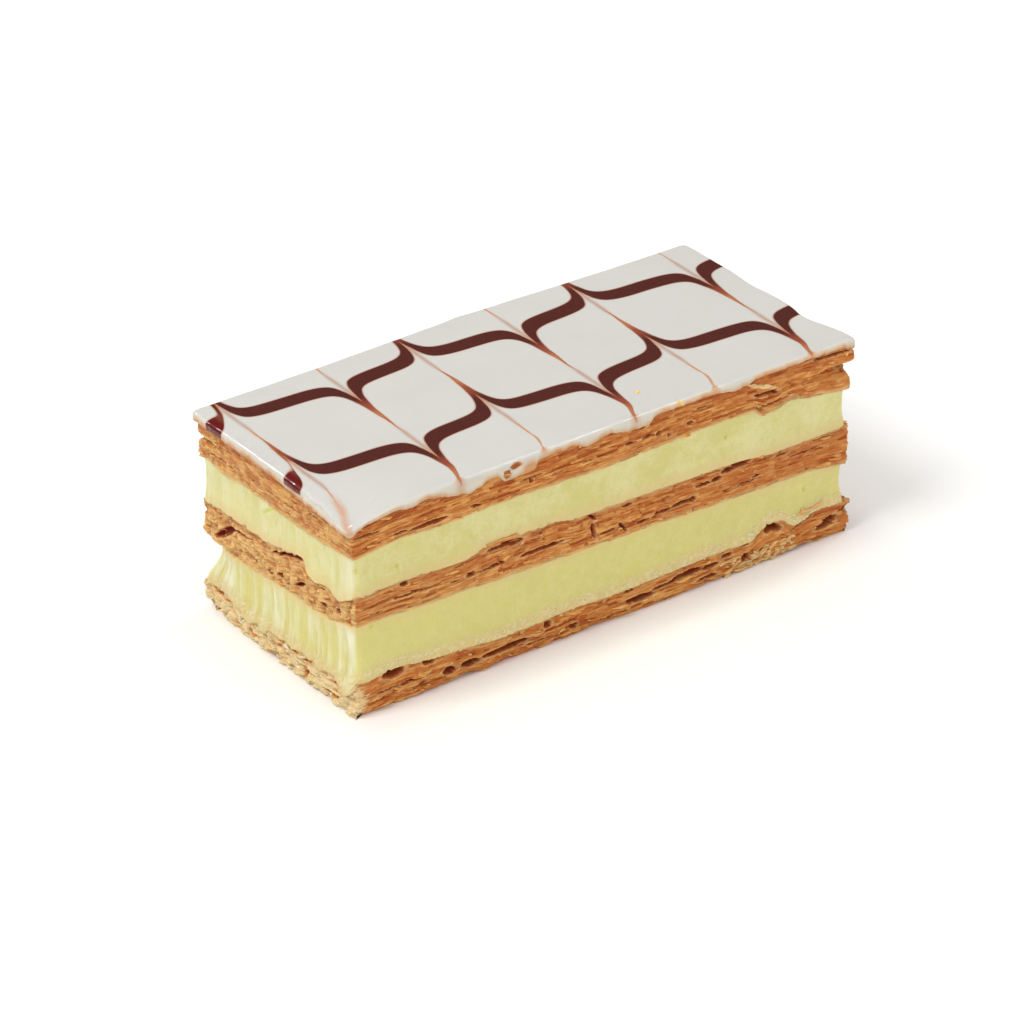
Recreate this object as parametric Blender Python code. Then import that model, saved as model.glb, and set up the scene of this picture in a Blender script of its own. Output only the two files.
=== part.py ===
"""A mille feuille slice: three flaky crusts, two layers of custard cream and a feathered icing lid.

Run it with: blender --background --python part.py. Units are metres and +Z is up. The slice stands on
z = 0 with its long side along X, and the origin is the centre of its footprint.

Every layer starts as a cube that is cut into a lattice. Each lattice point is then moved to the layer's
own seams above and below, and to its own cut wall. Neighbours share a seam, so they follow each other.
"""

import math

import bmesh
import bpy
from mathutils import Vector

MILLIMETRE = 0.001

# Driving dimensions
LENGTH = 0.110
WIDTH = 0.0504
SEAM_GAP = 0.0003  # clearance between two layers

# Seam heights at the four corners of the slice: left front, right front, left back, right back
SEAMS = {
    "table": (0.0, 0.0, 0.0, 0.0),
    "crust_bottom_top": (0.0072, 0.0066, 0.0056, 0.0062),
    "cream_lower_top": (0.0182, 0.0150, 0.0152, 0.0156),
    "crust_middle_top": (0.0247, 0.0228, 0.0223, 0.0234),
    "cream_upper_top": (0.0323, 0.0308, 0.0315, 0.0316),
    "crust_top_top": (0.0380, 0.0383, 0.0380, 0.0384),
    "icing_top": (0.0400, 0.0404, 0.0402, 0.0406),
}
FLAT_SEAMS = ("table", "icing_top")
SEAM_WAVE = 0.00035  # height of the slow waves in the other seams
SEAM_WAVE_LENGTH = 0.034  # along the slice
SEAM_WAVE_BREADTH = 0.048  # across the slice

# The knife presses the lid down at the left front corner
SAG_SEAMS = {"cream_upper_top": 0.0003, "crust_top_top": 0.0013, "icing_top": 0.0016}
SAG_REACH = 0.008

# Lattice
COLUMNS = 22  # along the length
ROWS = 10  # across the width
CORNER_ROUNDING = {"pastry": 0.0003, "cream": 0.0005, "icing": 0.0012}
CORNER_SHARPNESS = 12  # how close to the corner the rounding stays

# Cut walls
LEAF_STEP = 0.00022  # how far alternate pastry leaves stand out
LEAF_RAGGED = 0.00018  # unevenness along one leaf's edge
LEAF_WAVE_LENGTH = 0.013
LEAF_SECOND_WAVE = 1.7  # a shorter wave on top of the first, as a share of its turns
LEAF_SHIFT = 2.3  # how far each leaf's waves are turned from the leaf below
CREAM_HOLLOW = 0.0003  # how far a cream wall draws in at mid height
CREAM_FOOT = 0.0003  # how far it spreads at its foot
CREAM_UNEVEN = 0.3  # share of the hollow that comes and goes along the wall
ICING_EDGE_RADIUS = 0.0013
ICING_UNEVEN = 0.00006
BASE_UNDERCUT = 0.0007  # the bottom crust's lower edge curls up and in

# Pieces of wall that are missing: layer, place on the plan (-1..1), height in the layer (0..1), depth
CHIPS = (
    ("crust_top", (1.0, -0.9), 0.55, 0.0026),
    ("crust_middle", (-1.0, 0.75), 0.20, 0.0022),
    ("cream_lower", (-1.0, 0.90), 0.80, 0.0022),
    ("cream_lower", (-1.0, 1.00), 0.15, 0.0018),
    ("cream_lower", (1.0, -0.8), 0.45, 0.0012),
    ("crust_bottom", (-1.0, 0.95), 0.10, 0.0020),
    ("crust_bottom", (-1.0, 1.00), 0.80, 0.0018),
)
CHIP_REACH = 0.24  # of the half width
CHIP_RISE = 0.30  # of the layer's height


def steps(count):
    """Levels from 0 to 1 with the given number of cells."""
    return [i / count for i in range(count + 1)]


CRUST_LEAVES = 4
CRUST_LEVELS = steps(CRUST_LEAVES)
CREAM_LEVELS = steps(3)
ICING_LEVELS = (0.0, 0.55, 0.85, 1.0)


def waves(along, length, phase):
    """A wave of height 1 along a wall."""
    return math.sin(2 * math.pi * along / length + phase)


def crust_wall(along, level, seed):
    """In and out of a laminated wall: alternate leaves step, and each one is ragged along its edge."""
    leaf = round(level * CRUST_LEAVES)
    first = waves(along, LEAF_WAVE_LENGTH, LEAF_SHIFT * leaf + seed)
    second = waves(along, LEAF_WAVE_LENGTH / LEAF_SECOND_WAVE, 2 * seed - leaf)
    return LEAF_STEP * (1 if leaf % 2 else -1) + LEAF_RAGGED * (first + second / 2)


def base_wall(along, level, seed):
    """The bottom crust's wall: laminated, and curled in along the lower edge."""
    return crust_wall(along, level, seed) - BASE_UNDERCUT * (1 - level) ** 3


def cream_wall(along, level, seed):
    """In and out of a cream wall: it draws in at mid height and spreads at its foot."""
    slow = 1 + CREAM_UNEVEN * waves(along, 3 * LEAF_WAVE_LENGTH, seed)
    return CREAM_FOOT * (1 - level) ** 2 - CREAM_HOLLOW * slow * math.sin(math.pi * level)


def icing_wall(along, level, seed):
    """In and out of the icing's rim, rounded over at the top."""
    slow = ICING_UNEVEN * waves(along, 2 * LEAF_WAVE_LENGTH, seed)
    return slow - ICING_EDGE_RADIUS * (1 - math.sqrt(1 - level**2))


# Finishes: linear base colour, roughness
FINISHES = {
    "pastry": ((0.56, 0.25, 0.08), 0.62),
    "cream": ((0.80, 0.74, 0.27), 0.42),
    "icing": ((0.78, 0.76, 0.72), 0.18),
}

# Each layer: finish, seam below, seam above, levels, wall, and how many millimetres its wall stands out
# from the driving dimensions at the left, right, front and back
LAYERS = {
    "crust_bottom": (
        "pastry", "table", "crust_bottom_top", CRUST_LEVELS, base_wall, (0.4, 0.1, 0.1, -0.2),
    ),
    "cream_lower": (
        "cream", "crust_bottom_top", "cream_lower_top", CREAM_LEVELS, cream_wall, (0.2, -1.7, -0.3, -0.6),
    ),
    "crust_middle": (
        "pastry", "cream_lower_top", "crust_middle_top", CRUST_LEVELS, crust_wall, (0.1, -0.6, 0.0, -0.3),
    ),
    "cream_upper": (
        "cream", "crust_middle_top", "cream_upper_top", CREAM_LEVELS, cream_wall, (0.0, -1.3, -0.3, -0.6),
    ),
    "crust_top": (
        "pastry", "cream_upper_top", "crust_top_top", CRUST_LEVELS, crust_wall, (0.4, 0.4, 0.1, -0.1),
    ),
    "icing": (
        "icing", "crust_top_top", "icing_top", ICING_LEVELS, icing_wall, (1.1, 0.4, 0.0, 0.5),
    ),
}


def clear_scene():
    for obj in list(bpy.data.objects):
        bpy.data.objects.remove(obj, do_unlink=True)


def make_material(name):
    colour, roughness = FINISHES[name]
    material = bpy.data.materials.new(name)
    material.use_nodes = True
    shader = material.node_tree.nodes["Principled BSDF"]
    shader.inputs["Base Color"].default_value = (*colour, 1.0)
    shader.inputs["Roughness"].default_value = roughness
    shader.inputs["Metallic"].default_value = 0.0
    return material


def seam_height(seam, x, y):
    """Height of a seam at a point of the plan."""
    across = x / LENGTH + 0.5
    deep = y / WIDTH + 0.5
    left_front, right_front, left_back, right_back = SEAMS[seam]
    front = left_front + (right_front - left_front) * across
    back = left_back + (right_back - left_back) * across
    height = front + (back - front) * deep
    if seam not in FLAT_SEAMS:
        phase = list(SEAMS).index(seam)
        height += SEAM_WAVE * waves(x, SEAM_WAVE_LENGTH, phase) * waves(y, SEAM_WAVE_BREADTH, 2 * phase)
    if seam in SAG_SEAMS:
        from_corner = math.hypot(x + LENGTH / 2, y + WIDTH / 2)
        height -= SAG_SEAMS[seam] * math.exp(-((from_corner / SAG_REACH) ** 2))
    return height


def chip_depth(layer, u, v, level):
    """How deep the wall is missing here."""
    depth = 0.0
    for chipped_layer, (chip_u, chip_v), chip_level, full_depth in CHIPS:
        if chipped_layer == layer:
            far = math.hypot((u - chip_u) * LENGTH / WIDTH, v - chip_v) / CHIP_REACH
            high = (level - chip_level) / CHIP_RISE
            depth += full_depth * math.exp(-(far**2) - high**2)
    return depth


def place_point(layer, seed, u, v, level):
    """Moves a lattice point (-1..1, -1..1, 0..1) to its place in the layer."""
    finish, lower, upper, _, wall, (left, right, front, back) = LAYERS[layer]
    end_side, end_seed = (right, seed + 1) if u > 0 else (left, seed + 2)
    long_side, long_seed = (back, seed + 3) if v > 0 else (front, seed + 4)
    pulled_in = chip_depth(layer, u, v, level) + CORNER_ROUNDING[finish] * abs(u * v) ** CORNER_SHARPNESS
    half_length = LENGTH / 2 + end_side * MILLIMETRE + wall(v * WIDTH / 2, level, end_seed)
    half_width = WIDTH / 2 + long_side * MILLIMETRE + wall(u * LENGTH / 2, level, long_seed)
    x = u * (half_length - pulled_in)
    y = v * (half_width - pulled_in)
    bottom = seam_height(lower, x, y)
    top = seam_height(upper, x, y) - (SEAM_GAP if upper != "icing_top" else 0.0)
    return Vector((x, y, bottom + (top - bottom) * level))


def lattice_block(levels):
    """A cube from -1 to 1 in X and Y and 0 to 1 in Z, cut at every column, row and level."""
    block = bmesh.new()
    bmesh.ops.create_cube(block, size=2)
    for vertex in block.verts:
        vertex.co.z = (vertex.co.z + 1) / 2
    cuts = [(Vector((2 * i / COLUMNS - 1, 0, 0)), Vector((1, 0, 0))) for i in range(1, COLUMNS)]
    cuts += [(Vector((0, 2 * j / ROWS - 1, 0)), Vector((0, 1, 0))) for j in range(1, ROWS)]
    cuts += [(Vector((0, 0, level)), Vector((0, 0, 1))) for level in levels[1:-1]]
    for place, normal in cuts:
        everything = block.verts[:] + block.edges[:] + block.faces[:]
        bmesh.ops.bisect_plane(block, geom=everything, plane_co=place, plane_no=normal)
    return block


def make_layer(name, seed, material, collection):
    """One layer of the slice as its own object."""
    levels = LAYERS[name][3]
    block = lattice_block(levels)
    for vertex in block.verts:
        vertex.co = place_point(name, seed, *vertex.co)
    mesh = bpy.data.meshes.new(name)
    block.to_mesh(mesh)
    block.free()
    mesh.materials.append(material)
    layer = bpy.data.objects.new(name, mesh)
    collection.objects.link(layer)
    return layer


def centre_footprint(layers):
    """Puts the origin at the centre of the whole slice's footprint."""
    points = [vertex.co for layer in layers for vertex in layer.data.vertices]
    middle_x = (min(p.x for p in points) + max(p.x for p in points)) / 2
    middle_y = (min(p.y for p in points) + max(p.y for p in points)) / 2
    for layer in layers:
        layer.location = (-middle_x, -middle_y, 0)
    print(f"moved by {-middle_x / MILLIMETRE:.2f}, {-middle_y / MILLIMETRE:.2f} mm")


def build():
    clear_scene()
    collection = bpy.data.collections.new("mille_feuille_slice")
    bpy.context.scene.collection.children.link(collection)
    materials = {name: make_material(name) for name in FINISHES}
    layers = []
    for seed, (name, layer) in enumerate(LAYERS.items()):
        finish = layer[0]
        layers.append(make_layer(name, seed, materials[finish], collection))
    centre_footprint(layers)


build()
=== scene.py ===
import math
import random

import bmesh
import bpy
from mathutils import Euler, Matrix, Vector, noise
from mathutils.bvhtree import BVHTree


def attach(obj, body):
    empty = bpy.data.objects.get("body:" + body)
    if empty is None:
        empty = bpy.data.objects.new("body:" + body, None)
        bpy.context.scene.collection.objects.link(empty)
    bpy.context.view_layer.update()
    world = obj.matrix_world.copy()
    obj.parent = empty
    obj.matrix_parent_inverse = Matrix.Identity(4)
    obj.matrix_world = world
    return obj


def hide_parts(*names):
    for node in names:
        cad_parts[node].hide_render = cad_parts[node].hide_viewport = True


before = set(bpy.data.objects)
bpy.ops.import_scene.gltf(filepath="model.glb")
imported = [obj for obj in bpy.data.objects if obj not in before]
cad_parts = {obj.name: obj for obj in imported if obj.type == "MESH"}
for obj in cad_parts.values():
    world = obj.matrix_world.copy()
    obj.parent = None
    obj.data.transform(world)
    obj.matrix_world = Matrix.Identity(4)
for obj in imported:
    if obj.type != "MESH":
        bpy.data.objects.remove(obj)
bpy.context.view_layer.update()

mm = 0.001

# the slab that every layer is cut to, before its own wall stands in or out
slab = dict(length=110 * mm, width=50.4 * mm, middle=0.16 * mm)


# a method that adds a Math node to a wire; turned puts the wire second
def mathNode(operation, turned=False):
    def apply(wire, other):
        pair = (other, wire) if turned else (wire, other)
        return wire.tree.add("ShaderNodeMath", {"operation": operation}, dict(enumerate(pair)))
    return apply


# one socket of a node tree, which adds nodes when Python's operators meet it
class Wire:
    def __init__(self, tree, socket):
        self.tree = tree
        self.socket = socket

    __add__ = __radd__ = mathNode("ADD")
    __mul__ = __rmul__ = mathNode("MULTIPLY")
    __sub__ = mathNode("SUBTRACT")
    __rsub__ = mathNode("SUBTRACT", True)
    __truediv__ = mathNode("DIVIDE")
    __pow__ = mathNode("POWER")
    __gt__ = mathNode("GREATER_THAN")
    __lt__ = mathNode("LESS_THAN")
    least = mathNode("MINIMUM")
    most = mathNode("MAXIMUM")
    angle = mathNode("ARCTAN2")

    def math(self, operation):
        return self.tree.add("ShaderNodeMath", {"operation": operation}, {0: self})

    def __neg__(self):
        return self * -1.0

    def __abs__(self):
        return self.math("ABSOLUTE")

    def out(self, name):
        return Wire(self.tree, self.socket.node.outputs[name])

    # kept between 0 and most
    def within(self, most=1):
        return self.most(0).least(most)

    # 0 before low, 1 after high, smooth between
    def rise(self, low, high):
        return self.tree.add(
            "ShaderNodeMapRange",
            {"interpolation_type": "SMOOTHSTEP"},
            {"Value": self, "From Min": low, "From Max": high},
        )

    # 1 at the middle, falling away like a bell
    def bell(self, middle, reach):
        away = (self - middle) / reach
        return (-(away * away)).math("EXPONENT")


class Tree:
    def __init__(self, group):
        self.group = group
        self.group.nodes.clear()

    # a node of this type; settings come first, then the values or wires of its sockets
    def add(self, kind, settings=None, sockets=None):
        node = self.group.nodes.new(kind)
        for name, value in (settings or {}).items():
            setattr(node, name, value)
        for name, value in (sockets or {}).items():
            socket = pickSocket(node.inputs, name)
            if isinstance(value, Wire):
                self.group.links.new(value.socket, socket)
            else:
                socket.default_value = value
        shown = [s for s in node.outputs if s.enabled]
        return Wire(self, shown[0]) if shown else None

    def point(self, x, y, z):
        return self.add("ShaderNodeCombineXYZ", {}, {0: x, 1: y, 2: z})

    def parts(self, vector):
        split = self.add("ShaderNodeSeparateXYZ", {}, {0: vector})
        return split, split.out("Y"), split.out("Z")

    # soft noise from -0.5 to 0.5, one wave to each grain
    def noise(self, vector, grain, detail=1.0, roughness=0.5):
        waves = {"Vector": vector, "Scale": 1 / grain, "Detail": detail, "Roughness": roughness}
        return self.add("ShaderNodeTexNoise", {}, waves) - 0.5

    def cells(self, vector, grain, feature="F1"):
        return self.add("ShaderNodeTexVoronoi", {"feature": feature}, {"Vector": vector, "Scale": 1 / grain})

    # two chance numbers from 0 to 1 for every cell
    def dice(self, vector, grain):
        return self.parts(self.cells(vector, grain).out("Color"))[:2]

    def mixed(self, factor, first, second):
        first, second = [(*c, 1.0) if isinstance(c, tuple) else c for c in (first, second)]
        return self.add("ShaderNodeMix", {"data_type": "RGBA"}, {"Factor": factor, "A": first, "B": second})


def pickSocket(sockets, name):
    if isinstance(name, int):
        return sockets[name]
    return next(s for s in sockets if s.name == name and s.enabled)


# an empty Geometry Nodes tree whose inputs are the named sizes
def geometryTree(name, sizes, host=False):
    group = bpy.data.node_groups.new(name, "GeometryNodeTree")
    if host:
        group.interface.new_socket("Host", in_out="INPUT", socket_type="NodeSocketGeometry")
    for label, value in sizes.items():
        kind = "NodeSocketInt" if isinstance(value, int) else "NodeSocketFloat"
        group.interface.new_socket(label, in_out="INPUT", socket_type=kind)
    group.interface.new_socket("Geometry", in_out="OUTPUT", socket_type="NodeSocketGeometry")
    tree = Tree(group)
    inlet = tree.group.nodes.new("NodeGroupInput")
    return tree, {label: Wire(tree, inlet.outputs[label]) for label in list(sizes) + ["Host"] * host}


# realized, with its material, at the tree's end
def endTree(tree, geometry, material):
    real = tree.add("GeometryNodeRealizeInstances", {}, {"Geometry": geometry})
    dressed = tree.add("GeometryNodeSetMaterial", {}, {"Geometry": real, "Material": material})
    tree.add("NodeGroupOutput", {}, {"Geometry": dressed})


# runs a tree once and keeps its result as a plain mesh at the origin
def growPiece(name, tree, sizes, start=None):
    mesh = start.data.copy() if start else bpy.data.meshes.new(name)
    piece = bpy.data.objects.new(name, mesh)
    bpy.context.scene.collection.objects.link(piece)
    modifier = piece.modifiers.new(name, "NODES")
    modifier.node_group = tree.group
    for item in tree.group.interface.items_tree:
        if item.in_out == "INPUT" and item.name in sizes:
            modifier[item.identifier] = sizes[item.name]
    grown = piece.evaluated_get(bpy.context.evaluated_depsgraph_get())
    piece.data = bpy.data.meshes.new_from_object(grown)
    piece.modifiers.clear()
    piece.data.name = name
    triangles = sum(len(face.vertices) - 2 for face in piece.data.polygons)
    print(name, len(piece.data.vertices), "points,", triangles, "triangles")
    return piece


# heights in mm where two layers meet, as keys along the front and back (by x, left to right)
# and along the left and right ends (by y, front to back)
seams = dict(
    baseTop=dict(
        front=[
            (-55, 7.2), (-48, 8.0), (-37, 6.8), (-24, 5.9), (-10, 6.1), (5, 5.9), (25, 6.3), (31.5, 6.0),
            (35.6, 8.3), (38.6, 8.2), (42.2, 6.0), (47, 7.4), (55, 6.9),
        ],
        left=[(-25, 7.2), (-19, 5.8), (-6, 5.3), (8, 5.3), (17, 6.4), (25, 5.6)],
        back=[(-55, 5.0), (-20, 6.4), (20, 5.8), (55, 6.2)],
        right=[(-25, 6.9), (0, 5.9), (25, 6.2)],
    ),
    middleFoot=dict(
        front=[(-55, 18.6), (-35, 18.0), (-15, 17.4), (5, 17.1), (25, 16.3), (45, 15.9), (55, 14.6)],
        left=[(-25, 18.6), (-15, 16.3), (0, 15.8), (8, 15.0), (15, 14.6), (25, 15.0)],
        back=[(-55, 15.0), (0, 15.8), (55, 15.6)],
        right=[(-25, 14.6), (0, 15.6), (25, 15.6)],
    ),
    middleTop=dict(
        front=[
            (-55, 24.6), (-44, 24.9), (-32, 24.4), (-26, 25.6), (-12, 25.3), (-7, 24.4), (10, 24.2),
            (27, 23.8), (38, 22.8), (55, 22.9),
        ],
        left=[
            (-25, 24.4), (-21.5, 23.5), (-17.8, 23.2), (-13.5, 23.7), (-10.2, 23.5), (-8.9, 25.5),
            (-2.2, 24.4), (2.1, 23.3), (14, 23.1), (25, 22.6),
        ],
        back=[(-55, 22.6), (-20, 23.2), (20, 22.6), (55, 23.4)],
        right=[(-25, 22.9), (0, 23.4), (25, 23.4)],
    ),
    lidFoot=dict(
        front=[
            (-55, 32.2), (-45, 33.1), (-38, 32.7), (-25, 33.0), (0, 32.4), (12, 32.9), (29, 33.0),
            (32.3, 32.9), (35, 31.2), (37.5, 31.3), (41, 32.3), (47, 31.4), (55, 30.4),
        ],
        left=[(-25, 32.2), (-14, 31.4), (10, 31.5), (15.5, 30.9), (21, 31.6), (25, 31.4)],
        back=[(-55, 31.4), (0, 31.9), (55, 31.6)],
        right=[(-25, 30.4), (0, 31.3), (25, 31.6)],
    ),
    lidTop=dict(
        front=[(-55, 37.6), (-45, 38.8), (-10, 39.2), (25, 39.4), (55, 39.4)],
        left=[(-25, 37.6), (-14, 38.4), (25, 38.6)],
        back=[(-55, 38.6), (0, 38.9), (55, 38.8)],
        right=[(-25, 39.4), (25, 38.8)],
    ),
)


def rise(place, low, high):
    if isinstance(place, Wire):
        return place.rise(low, high)
    part = min(max((place - low) / (high - low), 0), 1)
    return part * part * (3 - 2 * part)


# a smooth line through (place, height) keys given in mm
def through(place, keys):
    height = keys[0][1] * mm
    for (fromPlace, fromHeight), (toPlace, toHeight) in zip(keys, keys[1:]):
        if toHeight != fromHeight:
            height = height + (toHeight - fromHeight) * mm * rise(place, fromPlace * mm, toPlace * mm)
    return height


# the height of a seam anywhere on the plan, carried in from its four sides
def seamHeight(seam, x, y):
    if seam == "table":
        return x * 0.0
    sides = seams[seam]
    across = x / slab["length"] + 0.5
    deep = y / slab["width"] + 0.5
    corner = [sides[side][end][1] * mm for side in ("front", "back") for end in (0, -1)]
    flat = (1 - deep) * ((1 - across) * corner[0] + across * corner[1])
    flat = flat + deep * ((1 - across) * corner[2] + across * corner[3])
    long = (1 - deep) * through(x, sides["front"]) + deep * through(x, sides["back"])
    short = (1 - across) * through(y, sides["left"]) + across * through(y, sides["right"])
    return long + short - flat


sliceGap = 0.0317  # m between the slices of noise space that the layers read


# Every layer is a grid wrapped round the slab: its columns go round the walls, and its rows go from the
# middle of the underside out to the wall, up the wall, and back to the middle of the top.
class Rings:
    def __init__(self, tree, size, wallRows, capRows=8):
        self.tree = tree
        columns = size["Columns"]
        rows = wallRows + 2 * capRows
        self.mesh = tree.add("GeometryNodeMeshGrid", {}, {"Vertices X": columns, "Vertices Y": rows})
        index = tree.add("GeometryNodeInputIndex")
        column = ((index + 0.5) / rows).math("FLOOR")
        row = index - column * rows
        self.wallRow = (row - capRows).within(wallRows - 1)
        inward = (capRows - row).most(row - (capRows + wallRows - 1)).most(0) / capRows
        self.onWall = inward < 0.001
        self.inset = inward**1.5  # 0 on the wall, 1 at the middle
        self.meets = (column < 0.5) + (column > columns - 1.5) + (inward > 0.999)  # the grid's own edges
        sides = {"Width": size["Length"], "Height": size["Width"]}
        outline = tree.add("GeometryNodeCurvePrimitiveQuadrilateral", {}, sides)
        corners = {"Curve": outline, "Count": 6, "Radius": size["Corner"]}
        rounded = tree.add("GeometryNodeFilletCurve", {"mode": "POLY"}, corners)
        along = {"Curves": rounded, "Factor": column / (columns - 1)}
        sample = tree.add("GeometryNodeSampleCurve", {"mode": "FACTOR", "use_all_curves": True}, along)
        self.x, self.y, _ = tree.parts(sample.out("Position"))
        alongX, alongY, _ = tree.parts(sample.out("Tangent"))
        self.x = self.x + size["Middle X"]
        self.y = self.y + size["Middle Y"]
        self.outX = alongY
        self.outY = -alongX
        self.front = (-self.outY).rise(0.5, 0.9)
        self.back = self.outY.rise(0.5, 0.9)
        self.left = (-self.outX).rise(0.5, 0.9)
        self.right = self.outX.rise(0.5, 0.9)
        self.capX = self.x * (1 - self.inset)
        self.capY = self.y * (1 - self.inset)

    # the side's mask and the coordinate that runs along it
    def side(self, name):
        return getattr(self, name), (self.x if name in ("front", "back") else self.y)

    # noise space that is new for every number given
    def apart(self, number, height=0.0):
        return self.tree.point(self.x, self.y, number * sliceGap + height)

    def noise(self, number, height, grain, detail=1.0, roughness=0.5):
        return self.tree.noise(self.apart(number, height), grain * mm, detail, roughness)

    # moves each point to its place, where proud stands out from the slab's own wall
    def place(self, proud, height, marks, backward=0.0):
        tree = self.tree
        keep = 1 - self.inset
        x = (self.x + self.outX * proud) * keep + slab["middle"]
        spot = tree.point(x, (self.y + self.outY * proud + backward) * keep, height)
        shape = tree.add("GeometryNodeSetPosition", {}, {"Geometry": self.mesh, "Position": spot})
        for name, value in marks.items():
            kind = {"data_type": "FLOAT", "domain": "POINT"}
            stored = {"Geometry": shape, "Name": name, "Value": value}
            shape = tree.add("GeometryNodeStoreNamedAttribute", kind, stored)
        ends = {"Geometry": shape, "Selection": self.meets, "Distance": 0.002 * mm}
        closed = tree.add("GeometryNodeMergeByDistance", {}, ends)
        return tree.add("GeometryNodeSetShadeSmooth", {}, {"Geometry": closed, "Shade Smooth": True})


# the sizes that Rings reads, from how many mm a layer's wall stands out at its left, right, front and back
def ringSizes(grid, stand):
    left, right, front, back = stand
    return {
        "Columns": grid["columns"],
        "Length": slab["length"] + (left + right) * mm,
        "Width": slab["width"] + (front + back) * mm,
        "Middle X": (right - left) / 2 * mm,
        "Middle Y": (back - front) / 2 * mm,
        "Corner": grid["corner"] * mm,
    }


crustGrid = dict(columns=880, rows=97, corner=0.6)

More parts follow.
